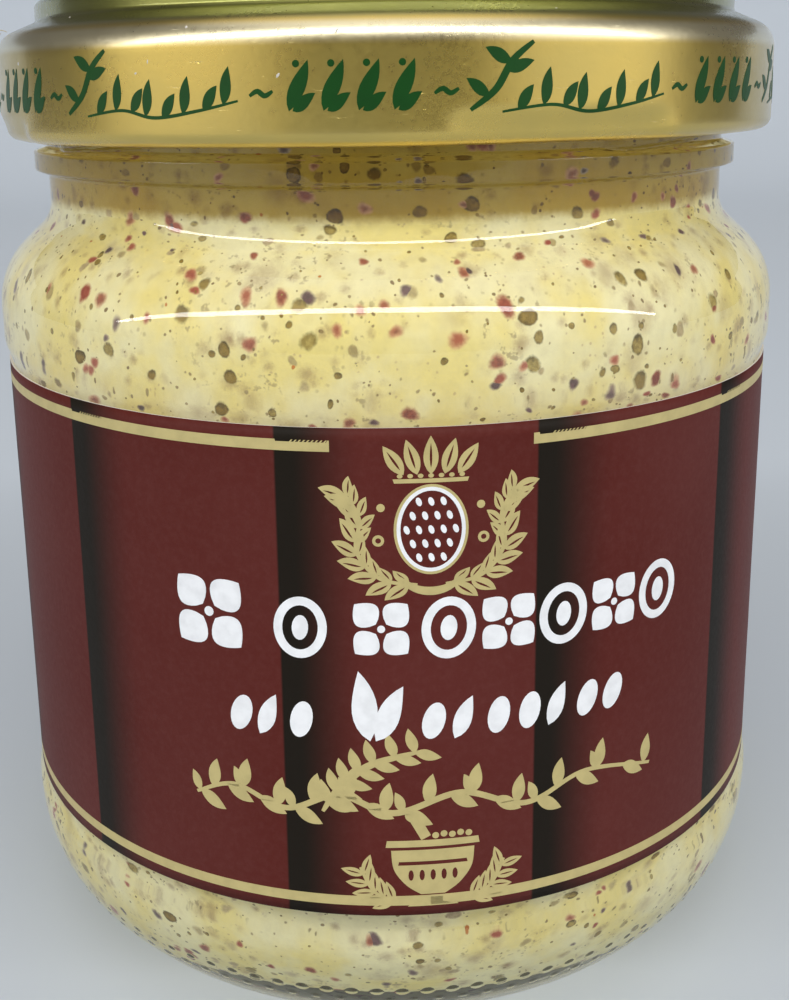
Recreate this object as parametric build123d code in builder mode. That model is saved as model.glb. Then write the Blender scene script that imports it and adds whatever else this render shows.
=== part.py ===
from build123d import *
import math
import os

# Driving dimensions, in millimetres. A "drop" is measured down from the rim
# of the glass, and a "height" up from the table.

# Glass
glass_height = 81.75
body_radius = 34.3  # under the label
bulge = 0.4  # how far the glass stands proud above and below the label
wall = 2.4
floor_height = 5.0  # inside floor
push_up = 2.0  # hollow under the base, at its deepest
foot_width = 2.9  # flat ring that the jar stands on
heel_rounding = 11.8
inner_heel_rounding = 8.5
foot_height = 12.7  # where the lower bulge turns in to the label panel
turn_height = 1.2  # how much height each turn into the panel takes
turn_rounding = 2.0
panel_drop = 29.2  # to the top of the label panel
shoulder_drop = 21.9  # to the corner that the shoulder rounds off
shoulder_slope = 43.0  # degrees above level
shoulder_rounding = 7.0
neck_inset = 4.3  # how much smaller the neck is than the panel
neck_rounding = 3.0
inner_rounding = 5.0
rim_rounding = 1.8  # outside the rim
rim_inner_rounding = 0.5

# Bead round the neck, under the lid
bead_gap = 1.85  # lid's edge down to the middle of the bead
bead_depth = 1.1
bead_root = 2.3
bead_crest = 1.6
bead_rounding = 0.4

# Ribs of the thread, which the lid's lugs catch under
rib_count = 4
rib_arc = 85.0  # degrees each rib covers
rib_drop = 0.4  # lid's edge down to the middle of a rib, at its low end
rib_top_gap = 5.4  # lid's flange down to the rib, at its high end
rib_depth = 1.0
rib_root = 1.7
rib_crest = 0.7
rib_bury = 0.6  # how far a rib runs into the wall, so that they join
rib_start = 300.0  # degrees round from +X to the first low end

# Mustard
headspace = 5.1

# Lid
sheet = 0.25
lid_height = 11.2
panel_recess = 0.7  # how far the middle of the lid is sunk
ring_inset = 2.1  # how far the ring round that panel reaches inside the bore
panel_slope_width = 0.9
rim_clearance = 0.15
top_rounding = 1.4
flange_drop = 1.7  # lid's top down to the inside of its flange
flange_fall = 1.45
flange_width = 3.35
flange_rounding = 0.4
shoulder_bend = 1.6
curl_radius = 1.0
curl_arc = 250.0  # degrees the edge is rolled through
panel_bend = 0.5  # both turns at the edge of the sunk panel

# Lugs pressed in from the lid's edge
lug_arc = 11.0
lug_lift = 0.15  # above the lid's edge
lug_gap = 0.35  # between a lug's tip and the neck
lug_clearance = 0.06  # between a lug's top and its rib
lug_turn = 81.6  # degrees from a rib's low end to the middle of its lug

# Label
label_thickness = 0.12
label_margin = 0.45  # panel left bare above and below
label_gap = 9.0  # bare glass at the back, between the label's ends
label_turn = 4.8  # degrees the label's middle is turned from the front

# Values that follow from these
lid_top = glass_height + sheet
lid_bottom = lid_top - lid_height
bulge_radius = body_radius + bulge
inner_radius = body_radius - wall
neck_radius = body_radius - neck_inset
bore_radius = neck_radius - wall
panel_bottom = foot_height + turn_height
panel_top = glass_height - panel_drop
shoulder_corner = glass_height - shoulder_drop
slope_rise = math.tan(math.radians(shoulder_slope))
neck_corner = shoulder_corner + (bulge_radius - neck_radius) * slope_rise
inner_line = shoulder_corner - wall / math.cos(math.radians(shoulder_slope))
inner_shoulder = inner_line + (bulge_radius - inner_radius) * slope_rise
inner_neck = inner_line + (bulge_radius - bore_radius) * slope_rise
push_up_radius = bulge_radius - heel_rounding - foot_width
bead_low = lid_bottom - bead_gap - bead_root / 2
bead_high = bead_low + bead_root
bead_bevel = (bead_root - bead_crest) / 2
bead_radius = neck_radius + bead_depth
buried_radius = neck_radius - rib_bury
mustard_height = glass_height - headspace
step_radius = neck_radius + rim_clearance + sheet
lid_radius = step_radius + flange_width
ring_radius = bore_radius - ring_inset
panel_radius = ring_radius - panel_slope_width
panel_height = lid_top - panel_recess
flange_height = lid_top - flange_drop
shoulder_height = flange_height - flange_fall
curl_middle = lid_radius - curl_radius
rib_low = lid_bottom - rib_drop
rib_high = flange_height - sheet - rib_top_gap - rib_root / 2
rib_rise = rib_high - rib_low
lug_edge_turn = lug_turn - lug_arc / 2
lug_low = lid_bottom + lug_lift
lug_high = rib_low + rib_rise * lug_edge_turn / rib_arc - rib_root / 2 - lug_clearance
lug_tip = neck_radius + lug_gap
label_radius = body_radius + label_thickness
label_low = panel_bottom + label_margin
label_high = panel_top - label_margin
gap_angle = math.degrees(label_gap / body_radius)


def round_corner(outline, radius, height, rounding):
    """Round the corner of an outline nearest to a radius and a height."""
    corner = outline.vertices().sort_by_distance((radius, height))[0]
    fillet(corner, radius=rounding)


def upright_plane(angle):
    """Plane through the axis of the jar, turned from +X by an angle."""
    turn = math.radians(angle)
    return Plane(
        origin=(0, 0, 0),
        x_dir=(math.cos(turn), math.sin(turn), 0),
        z_dir=(math.sin(turn), -math.cos(turn), 0),
    )


# Glass: one section, from the base up the outside and down the inside
with BuildPart() as jar:
    with BuildSketch(Plane.XZ) as wall_section:
        with BuildLine():
            Polyline(
                (0, 0),
                (bulge_radius, 0),
                (bulge_radius, foot_height),
                (body_radius, panel_bottom),
                (body_radius, panel_top),
                (bulge_radius, panel_top + turn_height),
                (bulge_radius, shoulder_corner),
                (neck_radius, neck_corner),
                (neck_radius, glass_height),
                (bore_radius, glass_height),
                (bore_radius, inner_neck),
                (inner_radius, inner_shoulder),
                (inner_radius, floor_height),
                (0, floor_height),
                close=True,
            )
        make_face()
        round_corner(wall_section, bulge_radius, 0, heel_rounding)
        round_corner(wall_section, bulge_radius, foot_height, turn_rounding)
        round_corner(wall_section, body_radius, panel_bottom, turn_rounding)
        round_corner(wall_section, body_radius, panel_top, turn_rounding)
        round_corner(wall_section, bulge_radius, panel_top + turn_height, turn_rounding)
        round_corner(wall_section, bulge_radius, shoulder_corner, shoulder_rounding)
        round_corner(wall_section, neck_radius, neck_corner, neck_rounding)
        round_corner(wall_section, neck_radius, glass_height, rim_rounding)
        round_corner(wall_section, bore_radius, glass_height, rim_inner_rounding)
        round_corner(wall_section, bore_radius, inner_neck, inner_rounding)
        round_corner(wall_section, inner_radius, inner_shoulder, inner_rounding)
        round_corner(wall_section, inner_radius, floor_height, inner_heel_rounding)
    revolve(axis=Axis.Z)

    # Hollow under the base: part of a large ball
    ball_radius = (push_up_radius**2 + push_up**2) / (2 * push_up)
    with Locations((0, 0, push_up - ball_radius)):
        Sphere(ball_radius, mode=Mode.SUBTRACT)

    # Bead round the neck
    with BuildSketch(Plane.XZ) as bead_section:
        with BuildLine():
            Polyline(
                (buried_radius, bead_low),
                (neck_radius, bead_low),
                (bead_radius, bead_low + bead_bevel),
                (bead_radius, bead_high - bead_bevel),
                (neck_radius, bead_high),
                (buried_radius, bead_high),
                close=True,
            )
        make_face()
        round_corner(bead_section, bead_radius, bead_low, bead_rounding)
        round_corner(bead_section, bead_radius, bead_high, bead_rounding)
    revolve(axis=Axis.Z)

    # Thread ribs, each rising round the neck
    with BuildPart(mode=Mode.PRIVATE) as rib:
        with BuildLine() as rib_path:
            Helix(
                pitch=rib_rise * 360 / rib_arc,
                height=rib_rise,
                radius=neck_radius,
                center=(0, 0, rib_low),
            )
        with BuildSketch(
            Plane(
                origin=rib_path.line @ 0,
                x_dir=(1, 0, 0),
                z_dir=rib_path.line % 0,
            )
        ):
            with BuildLine():
                Polyline(
                    (-rib_bury, -rib_root / 2),
                    (0, -rib_root / 2),
                    (rib_depth, -rib_crest / 2),
                    (rib_depth, rib_crest / 2),
                    (0, rib_root / 2),
                    (-rib_bury, rib_root / 2),
                    close=True,
                )
            make_face()
        sweep(is_frenet=True)
    with PolarLocations(0, rib_count, start_angle=rib_start):
        add(rib.part)

# Mustard: fills the glass, face to face, up to its level
with BuildPart() as mustard:
    with BuildSketch(Plane.XZ) as fill_section:
        with BuildLine():
            Polyline(
                (0, floor_height),
                (inner_radius, floor_height),
                (inner_radius, inner_shoulder),
                (bore_radius, inner_neck),
                (bore_radius, mustard_height),
                (0, mustard_height),
                close=True,
            )
        make_face()
        round_corner(fill_section, inner_radius, floor_height, inner_heel_rounding)
        round_corner(fill_section, inner_radius, inner_shoulder, inner_rounding)
        round_corner(fill_section, bore_radius, inner_neck, inner_rounding)
    revolve(axis=Axis.Z)

# Lid: the upper face of its sheet as a line, thickened inward and turned
with BuildPart() as lid:
    with BuildSketch(Plane.XZ):
        with BuildLine() as top_line:
            Polyline(
                (0, panel_height),
                (panel_radius, panel_height),
                (ring_radius, lid_top),
                (step_radius, lid_top),
                (step_radius, flange_height),
                (lid_radius, shoulder_height),
                (lid_radius, lid_bottom + curl_radius),
            )
            CenterArc((curl_middle, lid_bottom + curl_radius), curl_radius, 0, -curl_arc)
            round_corner(top_line, panel_radius, panel_height, panel_bend)
            round_corner(top_line, ring_radius, lid_top, panel_bend)
            round_corner(top_line, step_radius, lid_top, top_rounding)
            round_corner(top_line, step_radius, flange_height, flange_rounding)
            round_corner(top_line, lid_radius, shoulder_height, shoulder_bend)
            offset(amount=sheet, side=Side.RIGHT, closed=True)
        make_face()
    revolve(axis=Axis.Z)

    # Lugs, each just under its rib
    for lug in range(rib_count):
        middle = rib_start + lug * 360 / rib_count + lug_turn
        with BuildSketch(upright_plane(middle - lug_arc / 2)):
            with BuildLine():
                Polyline(
                    (lug_tip, lug_low),
                    (curl_middle, lug_low),
                    (curl_middle, lug_high),
                    (lug_tip, lug_high),
                    close=True,
                )
            make_face()
        revolve(axis=Axis.Z, revolution_arc=lug_arc)

# Label: a strip of paper round the panel, with its ends near each other at the back
with BuildPart() as label:
    with BuildSketch(upright_plane(90 + label_turn + gap_angle / 2)):
        with BuildLine():
            Polyline(
                (body_radius, label_low),
                (label_radius, label_low),
                (label_radius, label_high),
                (body_radius, label_high),
                close=True,
            )
        make_face()
    revolve(axis=Axis.Z, revolution_arc=360 - gap_angle)

os.makedirs("parts", exist_ok=True)

jar.part.label = "jar"
export_step(jar.part, "parts/jar.step")

mustard.part.label = "mustard"
export_step(mustard.part, "parts/mustard.step")

lid.part.label = "lid"
export_step(lid.part, "parts/lid.step")

label.part.label = "label"
export_step(label.part, "parts/label.step")
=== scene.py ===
"""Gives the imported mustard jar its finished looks: glass, mustard, lid and label."""

import math
import random

import bmesh
import bpy
import numpy as np
from bpy.props import FloatProperty, FloatVectorProperty, IntProperty, PointerProperty
from mathutils import Matrix, Vector, noise
from mathutils.geometry import tessellate_polygon


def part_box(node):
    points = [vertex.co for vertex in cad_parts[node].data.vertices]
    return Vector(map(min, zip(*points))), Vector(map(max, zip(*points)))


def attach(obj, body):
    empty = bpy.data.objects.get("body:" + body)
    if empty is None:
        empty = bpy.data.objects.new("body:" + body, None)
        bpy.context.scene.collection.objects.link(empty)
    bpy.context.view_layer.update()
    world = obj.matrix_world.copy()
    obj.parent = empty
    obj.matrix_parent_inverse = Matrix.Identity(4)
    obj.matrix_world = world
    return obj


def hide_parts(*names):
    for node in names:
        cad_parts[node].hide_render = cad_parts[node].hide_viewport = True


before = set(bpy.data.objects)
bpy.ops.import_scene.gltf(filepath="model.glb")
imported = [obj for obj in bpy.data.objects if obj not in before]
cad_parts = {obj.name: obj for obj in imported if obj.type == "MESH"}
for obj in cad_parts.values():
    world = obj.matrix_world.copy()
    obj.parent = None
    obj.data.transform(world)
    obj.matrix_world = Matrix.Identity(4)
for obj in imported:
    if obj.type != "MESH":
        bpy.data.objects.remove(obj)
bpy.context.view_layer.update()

bl_info = {
    "name": "Whole-Grain Mustard Jar",
    "version": (1, 0, 0),
    "blender": (4, 5, 0),
    "location": "View3D > Sidebar > Mustard Jar",
    "description": "Builds the glass, mustard, lid and label of a twist-off mustard jar",
    "category": "Object",
}

MM = 0.001
FRONT = math.radians(-90)  # round from +X to the front of the jar
CREASE = math.radians(35)  # an edge sharper than this isn't smoothed
NECK_INSET = 4.3  # how much smaller the neck is than the label's panel, mm


# Sizes and colours a user may change


def number(name, description, value):
    """A plain number property."""
    return FloatProperty(name=name, description=description, default=value, min=0.0)


def millimetres(name, description, value):
    """A length property whose default is given in millimetres."""
    return FloatProperty(
        name=name, description=description, default=value * MM, min=0.0, precision=5,
        unit="LENGTH", subtype="DISTANCE",
    )


def degrees(name, description, value):
    """An angle property whose default is given in degrees."""
    value = math.radians(value)
    return FloatProperty(
        name=name, description=description, default=value, unit="ROTATION", subtype="ANGLE"
    )


def colour(name, description, *parts):
    """A colour property whose default is given as it looks on a screen, 0 to 255."""
    value = [linear(part / 255) for part in parts]
    return FloatVectorProperty(
        name=name, description=description, default=value, min=0.0, max=1.0, size=3, subtype="COLOR"
    )


def linear(part):
    """One screen colour part, 0 to 1, as linear light."""
    return part / 12.92 if part <= 0.04045 else ((part + 0.055) / 1.055) ** 2.4


class JarGlassSettings(bpy.types.PropertyGroup):
    """Glass of the jar."""

    bulge: millimetres("Bulge", "How far the glass stands proud of the label panel", 0.4)
    wall: millimetres("Wall", "Thickness of the side", 2.4)
    floor: millimetres("Floor", "Height of the inside floor", 5.0)
    push_up: millimetres("Push-up", "Depth of the hollow under the base", 2.0)
    foot: millimetres("Foot", "Width of the flat ring the jar stands on", 2.9)
    heel: millimetres("Heel", "Rounding between base and side", 11.8)
    wave: millimetres("Wave", "Unevenness of the blown surface", 0.035)
    dot_size: millimetres("Dot size", "Radius of the dots moulded round the heel", 0.43)
    dot_height: millimetres("Dot height", "How far those dots stand proud", 0.045)
    tint: colour("Tint", "Colour of the glass", 247, 252, 246)


class MustardSettings(bpy.types.PropertyGroup):
    """Paste, seeds and bubbles."""

    reach: millimetres("Reach", "How far the paste runs into the wall", 0.06)
    cream: colour("Cream", "Paler part of the paste", 252, 241, 191)
    yellow: colour("Yellow", "Yellower part of the paste", 248, 228, 145)
    smudge: colour("Smudge", "Seed hull that lies just under the surface", 136, 88, 66)
    # Painted shadow: the paste in the neck is made browner, where the lid's shadow falls
    lid_shadow_tone: colour("Lid shadow tone", "Deeper, oilier paste under the lid", 190, 168, 96)
    seed_density: number("Seed density", "Whole seeds per square cm", 6.0)
    bubble_density: number("Bubble density", "Bubbles per square cm", 13.0)
    bran_density: number("Bran density", "Crushed bits per square cm", 30.0)
    random_seed: IntProperty(name="Seed", description="Start of the scatter", default=7)


class LidSettings(bpy.types.PropertyGroup):
    """Twist-off lid."""

    sheet: millimetres("Sheet", "Thickness of the tinplate", 0.25)
    curl: millimetres("Curl", "Radius of the rolled edge", 1.0)
    shift: millimetres("Shift", "How far the lid sits off centre, to the right", 0.2)
    lean: degrees("Lean", "How far its right side is raised", 0.25)
    gold: colour("Gold", "Lacquer on the outside", 220, 191, 96)
    green: colour("Green", "Print on the lid", 12, 70, 16)


class LabelSettings(bpy.types.PropertyGroup):
    """Paper label."""

    thickness: millimetres("Thickness", "Thickness of the paper", 0.12)
    turn: degrees("Turn", "How far the middle of the print is turned to the right", 4.8)
    stripe_pitch: millimetres("Stripe pitch", "From one dark stripe to the next", 18.55)
    maroon: colour("Maroon", "Ground of the label", 87, 29, 22)
    dark: colour("Dark", "Stripes on the ground", 28, 22, 14)
    gold: colour("Gold", "Gold ink", 206, 190, 130)
    white: colour("White", "White ink", 250, 252, 255)


class StageSettings(bpy.types.PropertyGroup):
    """Floor, lamp and camera."""

    floor: colour("Floor", "Colour of the floor and backdrop", 203, 212, 223)
    lens: number("Lens", "Focal length in mm", 43.66)
    distance: millimetres("Distance", "From the jar's axis to the camera", 113.56)
    height: millimetres("Height", "Height of the camera", 74.63)
    strip_power: number("Strip lamp", "Power in watts", 53.0)
    glow: number("Glow", "Strength of the soft zones round the jar", 0.85)


SETTINGS = {
    "jar_glass": JarGlassSettings,
    "jar_mustard": MustardSettings,
    "jar_lid": LidSettings,
    "jar_label": LabelSettings,
    "jar_stage": StageSettings,
}


# Shapes


def box_in_mm(node):
    """Lowest and highest corner of a CAD node."""
    return [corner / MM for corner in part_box(node)]


def turned(x, y, angle):
    """A flat point, turned round the origin."""
    return x * math.cos(angle) - y * math.sin(angle), x * math.sin(angle) + y * math.cos(angle)


def oval(x, z, width, height, lean=0.0, count=28, wobble=None):
    """Outline of an oval by its half sizes, leaning and, with a wobble, uneven."""
    marks = []
    for step in range(count):
        angle = step * 2 * math.pi / count
        size = wobble(angle) if wobble else 1.0
        a, b = turned(width * size * math.cos(angle), height * size * math.sin(angle), lean)
        marks.append((x + a, z + b))
    return marks


def rounded(corners, run=1.0, turn=6.0):
    """Points, in mm, along a line of (radius, height, rounding) corners."""
    points = [Vector(corners[0][:2])]

    def run_to(end):
        start = points[-1]
        count = max(1, math.ceil((end - start).length / run - 0.01))
        points.extend(start.lerp(end, step / count) for step in range(1, count + 1))

    for before, corner, after in zip(corners, corners[1:], corners[2:]):
        here = Vector(corner[:2])
        if corner[2] <= 0:
            run_to(here)
            continue
        back = (Vector(before[:2]) - here).normalized()
        on = (Vector(after[:2]) - here).normalized()
        half = back.angle(on) / 2
        run_to(here + back * corner[2] / math.tan(half))
        centre = here + (back + on).normalized() * corner[2] / math.sin(half)
        start = points[-1] - centre
        bend = math.pi - 2 * half
        if back.x * on.y - back.y * on.x > 0:
            bend = -bend
        count = max(2, math.ceil(abs(math.degrees(bend)) / turn))
        for step in range(1, count + 1):
            points.append(centre + Vector(turned(start.x, start.y, bend * step / count)))
    run_to(Vector(corners[-1][:2]))
    return [(max(point.x, 0.0), point.y) for point in points]


def slopes(line):
    """Unit normal at each point of a line, to the right of the way it runs."""
    along = np.gradient(np.array(line), axis=0)
    along /= np.maximum(np.linalg.norm(along, axis=1), 1e-9)[:, None]
    return np.stack([along[:, 1], -along[:, 0]], axis=1)


def moved_out(line, depth):
    """A line moved along its normals by a depth, but never past the axis."""
    return [
        (max(point[0] + depth * normal[0], 0.0), point[1] + depth * normal[1])
        for point, normal in zip(line, slopes(line))
    ]


def ring_row(radius, height, count):
    """A ring of points in mm; one point where it closes on the axis."""
    if radius < 1e-6:
        return np.array([[0.0, 0.0, height]])
    turn = np.arange(count) * 2 * math.pi / count
    return np.stack([radius * np.cos(turn), radius * np.sin(turn), np.full(count, height)], axis=1)


def bearing(row):
    """Where each point of a ring lies round the axis."""
    return np.arctan2(row[:, 1], row[:, 0])


def swell(row, radius, out):
    """Move a ring's points outward by an amount for each."""
    row[:, :2] *= ((radius + out) / radius)[:, None]


def skin(name, rows):
    """A smooth piece through rows of points in mm, each a ring round the axis or a point on it."""
    starts = np.cumsum([0] + [len(row) for row in rows])
    faces = []
    for low in range(len(rows) - 1):
        low_count, high_count = len(rows[low]), len(rows[low + 1])
        steps = min(low_count, high_count)
        if steps == 1:
            steps = max(low_count, high_count)
        for step in range(steps):
            face = side_of(starts[low], low_count, steps, step)
            face += side_of(starts[low + 1], high_count, steps, step)[::-1]
            faces.append(face)
    return solid(name, np.concatenate(rows) * MM, faces)


def side_of(start, count, steps, step):
    """The corners that a ring of points gives to one of the faces between it and the next ring."""
    if count == 1:
        return [int(start)]
    share = count // steps
    return [int(start + (step * share + k) % count) for k in range(share + 1)]


def solid(name, points, faces):
    """A smooth mesh object with its faces turned outward."""
    mesh = bpy.data.meshes.new(name)
    mesh.from_pydata([tuple(point) for point in points], [], faces)
    shape = bmesh.new()
    shape.from_mesh(mesh)
    bmesh.ops.recalc_face_normals(shape, faces=shape.faces)
    for face in shape.faces:
        face.smooth = True
    shape.to_mesh(mesh)
    shape.free()
    piece = bpy.data.objects.new(name, mesh)
    bpy.context.scene.collection.objects.link(piece)
    return piece


def place(piece, material_slot, finish, *nodes):
    """Put a finish on a piece, seat it on the jar and hide the CAD parts it stands for."""
    piece.data.materials.append(finish.material)
    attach(piece, "root")
    if nodes:
        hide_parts(*nodes)


def ease(value, low, high):
    """0 at low, 1 at high, smooth between."""
    part = np.clip((value - low) / (high - low), 0.0, 1.0)
    return part * part * (3 - 2 * part)


def uneven(points, size, reach):
    """Smooth random values, one a point, between about -reach and reach."""
    return np.array([noise.noise(Vector(point) / size) for point in points]) * reach


# Finishes


class Nodes:
    """A tree of shader nodes, with short ways to add to it."""

    def __init__(self, tree):
        self.tree = tree

    def add(self, kind, settings=None, **inputs):
        """Add a node, set its options, and plug its inputs by name or by number, as i0."""
        node = self.tree.nodes.new("ShaderNode" + kind)
        for key, value in (settings or {}).items():
            setattr(node, key, value)
        for key, value in inputs.items():
            self.plug(node.inputs[int(key[1:]) if key[1:].isdigit() else key.replace("_", " ")], value)
        return node

    def plug(self, socket, value):
        """Link a socket to another, or give it a value."""
        if isinstance(value, bpy.types.NodeSocket):
            self.tree.links.new(value, socket)
        elif socket.type == "RGBA":
            socket.default_value = (*value[:3], 1.0)
        else:
            socket.default_value = value

    def calc(self, operation, *values):
        """One sum on two or three values."""
        inputs = {f"i{place}": value for place, value in enumerate(values)}
        return self.add("Math", {"operation": operation}, **inputs).outputs[0]

    def plus(self, first, second):
        """The sum of two values."""
        return self.calc("ADD", first, second)

    def less(self, first, second):
        """The first value less the second."""
        return self.calc("SUBTRACT", first, second)

    def times(self, first, *others):
        """The product of two or more values."""
        for other in others:
            first = self.calc("MULTIPLY", first, other)
        return first

    def blend(self, factor, first, second, way="MIX"):
        """Two colours mixed."""
        settings = {"data_type": "RGBA", "blend_type": way}
        return self.add("Mix", settings, i0=factor, i6=first, i7=second).outputs[2]

    def over(self, base, shade, *amounts):
        """One colour laid over another, by the product of some amounts."""
        return self.blend(self.times(*amounts), base, shade)

    def ramp(self, value, low, high):
        """A value mapped smoothly from low..high to 0..1."""
        settings = {"interpolation_type": "SMOOTHSTEP"}
        return self.add("MapRange", settings, Value=value, From_Min=low, From_Max=high).outputs[0]

    def where(self):
        """Place in the jar's own space, in metres."""
        return self.add("TexCoord").outputs["Object"]

    def height(self):
        """Height over the floor, in metres."""
        return self.add("SeparateXYZ", None, Vector=self.where()).outputs[2]

    def noise(self, scale, detail=2.0, roughness=0.5, stretch=None):
        """A noise texture in the jar's own space."""
        where = self.where()
        if stretch:
            where = self.add("Mapping", None, Vector=where, Scale=stretch).outputs[0]
        inputs = {"Vector": where, "Scale": scale, "Detail": detail, "Roughness": roughness}
        return self.add("TexNoise", None, **inputs).outputs[0]

    def patches(self, low, high, *settings):
        """Soft patches, which are a noise texture mapped from low..high to 0..1."""
        return self.ramp(self.noise(*settings), low, high)

    def spots(self, scale, ragged, low, high):
        """Ragged round spots: 1 in their middles, and 0 beyond their rims."""
        cells = self.add("TexVoronoi", None, Vector=self.where(), Scale=scale)
        return self.less(1.0, self.ramp(self.plus(cells.outputs["Distance"], ragged), low, high))


class Finish(Nodes):
    """A material, built up round its principled shader."""

    def __init__(self, name, **inputs):
        self.material = bpy.data.materials.new(name)
        self.material.use_nodes = True
        super().__init__(self.material.node_tree)
        self.shader = self.tree.nodes["Principled BSDF"]
        self.set(**inputs)

    def set(self, **inputs):
        """Plug the shader's inputs by name."""
        for key, value in inputs.items():
            self.plug(self.shader.inputs[key.replace("_", " ")], value)

    def relief(self, height, depth):
        """Drive the shader's normal from a height, with a depth in mm."""
        bump = self.add("Bump", None, Height=height, Strength=1.0, Distance=depth * MM)
        self.set(Normal=bump.outputs[0])


def mottled(name, scale, first, second, roughness):
    """A plain dull finish of two shades."""
    finish = Finish(name, Roughness=roughness)
    finish.set(Base_Color=finish.blend(finish.noise(scale), first, second))
    return finish


# Glass

NECK_LOW, NECK_HIGH = 65.2, 79.6  # where the bead and the thread ribs are, mm
HEEL_DOTS = 109  # round the jar, in each of two rows
RIB_STARTS = (30, 120, 210, 300)


def neck_relief(turn, height):
    """How far the bead and the thread ribs stand out from the neck, in mm."""
    out = 1.1 * (1 - ease(np.abs(height - 68.95), 0.75, 1.18)) * np.ones(len(turn))
    for start in RIB_STARTS:
        along = (np.degrees(turn) - start + 180) % 360 - 180
        middle = 70.4 + 3.4 * np.clip(along, 0, 85) / 85
        ends = ease(along, 0.0, 7.0) * (1 - ease(along, 78.0, 85.0))
        out = np.maximum(out, ends * (1 - ease(np.abs(height - middle), 0.3, 0.88)))
    return out


def heel_dots(turn, run, size, height):
    """Two staggered rows of small dots; run is the distance down the heel in mm."""
    out = np.zeros(len(turn))
    for row, shift in ((1.05, 0.0), (2.35, 0.5)):
        step = np.degrees(turn) * HEEL_DOTS / 360 + shift
        across = (step - np.round(step)) * 2 * math.pi * 33.6 / HEEL_DOTS
        away = np.hypot(across / 1.05, (run - row) / 0.9) / size
        out = np.maximum(out, height * (1 - ease(away, 0.35, 1.0)))
    return out


def heel_rows(opts, middle, radius, count):
    """Rows of points, in mm, over the band of the heel that has the dots."""
    rows = []
    for slant in np.arange(34.0, 18.4, -0.75):
        angle = math.radians(slant)
        radial = middle.x + radius * math.cos(angle)
        row = ring_row(radial, middle.y - radius * math.sin(angle), count)
        down = angle * radius - 3.7
        out = heel_dots(bearing(row), down, opts.dot_size / MM, opts.dot_height / MM)
        out += uneven(row, 13.0, opts.wave / MM)
        swell(row, radial, out * math.cos(angle))
        row[:, 2] -= out * math.sin(angle)
        rows.append(row)
    return rows


class MakeGlass(bpy.types.Operator):
    """Blow the glass jar, with its bead, thread ribs and heel dots"""

    bl_idname = "mustard_jar.glass"
    bl_label = "Glass Jar"

    def execute(self, context):
        opts = context.scene.jar_glass
        low, high = box_in_mm("jar")
        base, top, radius = low.z, high.z, high.x
        panel = radius - opts.bulge / MM
        neck, wall = panel - NECK_INSET, opts.wall / MM
        hollow, heel = opts.push_up / MM, opts.heel / MM
        foot = radius - heel - opts.foot / MM
        ball = (foot**2 + hollow**2) / (2 * hollow)
        steps = [part * foot / 20 for part in range(20)]
        dome = [(out, base + hollow - ball + math.sqrt(ball**2 - out**2)) for out in steps]
        outside = [
            (foot, base),
            (radius, base, heel),
            (radius, base + 12.7, 2.0),
            (panel, base + 13.9, 2.0),
            (panel, top - 29.2, 2.0),
            (radius, top - 28.0, 2.0),
            (radius, top - 21.9, 7.0),
            (neck, top - 17.517, 3.0),
            (neck, top, 1.8),
            (neck - wall, top, 0.5),
            (neck - wall, top - 1.5),
        ]
        inside = [
            (neck - wall, top - 2.0),
            (neck - wall, top - 18.56, 5.0),
            (panel - wall, top - 22.57, 5.0),
            (panel - wall, base + opts.floor / MM, 8.5),
            (0, base + opts.floor / MM),
        ]
        count = 327  # three points to a dot
        rows = [ring_row(*point, count) for point in dome]
        middle = Vector((radius - heel, base + heel))
        dotted = threaded = False
        for point in rounded(outside, run=0.5):
            radial, height = point
            along = Vector(point) - middle
            slant = math.degrees(math.atan2(-along.y, along.x))
            if 17.9 < slant < 34.5 and abs(along.length - heel) < 0.05:
                if not dotted:
                    rows += heel_rows(opts, middle, heel, 4 * count)
                dotted = True
            elif radial > neck - 0.01 and NECK_LOW < height < NECK_HIGH:
                if not threaded:
                    rows += thread_rows(neck, count)
                threaded = True
            else:
                row = ring_row(radial, height, count)
                by_thread = abs(radial - neck) < 0.05 and NECK_LOW - 0.1 < height < NECK_HIGH + 0.1
                if height < base + 13 or height > top - 27.8 and not by_thread:
                    swell(row, radial, uneven(row, 13.0, opts.wave / MM))
                rows.append(row)
        rows += [ring_row(*point, count) for point in rounded(inside)]
        place(skin("glass_jar", rows), "clear_glass", glass_finish(opts), "jar")
        return {"FINISHED"}


def thread_rows(neck, count):
    """Rows of points, in mm, up the neck with its bead and ribs."""
    rows = []
    for height in np.linspace(NECK_LOW, NECK_HIGH, 97):
        row = ring_row(neck, height, count)
        swell(row, neck, neck_relief(bearing(row), height))
        rows.append(row)
    return rows


def glass_finish(opts):
    """Clear glass that lets the lamp through to what is inside."""
    finish = Finish("clear_flint_glass", Base_Color=opts.tint, Roughness=0.015, IOR=1.5)
    finish.set(Transmission_Weight=1.0)
    finish.relief(finish.noise(260.0, 1.0), 0.02)
    clear = finish.add("BsdfTransparent", None, Color=(0.985, 0.98, 0.965)).outputs[0]
    path = finish.add("LightPath").outputs
    through = finish.calc("MAXIMUM", path["Is Shadow Ray"], path["Is Diffuse Ray"])
    mix = finish.add("MixShader", None, i0=through, i1=finish.shader.outputs[0], i2=clear)
    finish.plug(finish.tree.nodes["Material Output"].inputs["Surface"], mix.outputs[0])
    return finish


# Mustard


def paste_line():
    """The inside of the glass, from the middle of its floor up to the mustard's level."""
    low, high = box_in_mm("mustard")
    neck, glass_top = high.x - NECK_INSET, box_in_mm("jar")[1].z
    corners = [
        (0, low.z),
        (high.x, low.z, 8.5),
        (high.x, glass_top - 22.57, 5.0),
        (neck, glass_top - 18.56, 5.0),
        (neck, high.z),
    ]
    return rounded(corners, run=0.5, turn=3.0)


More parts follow.
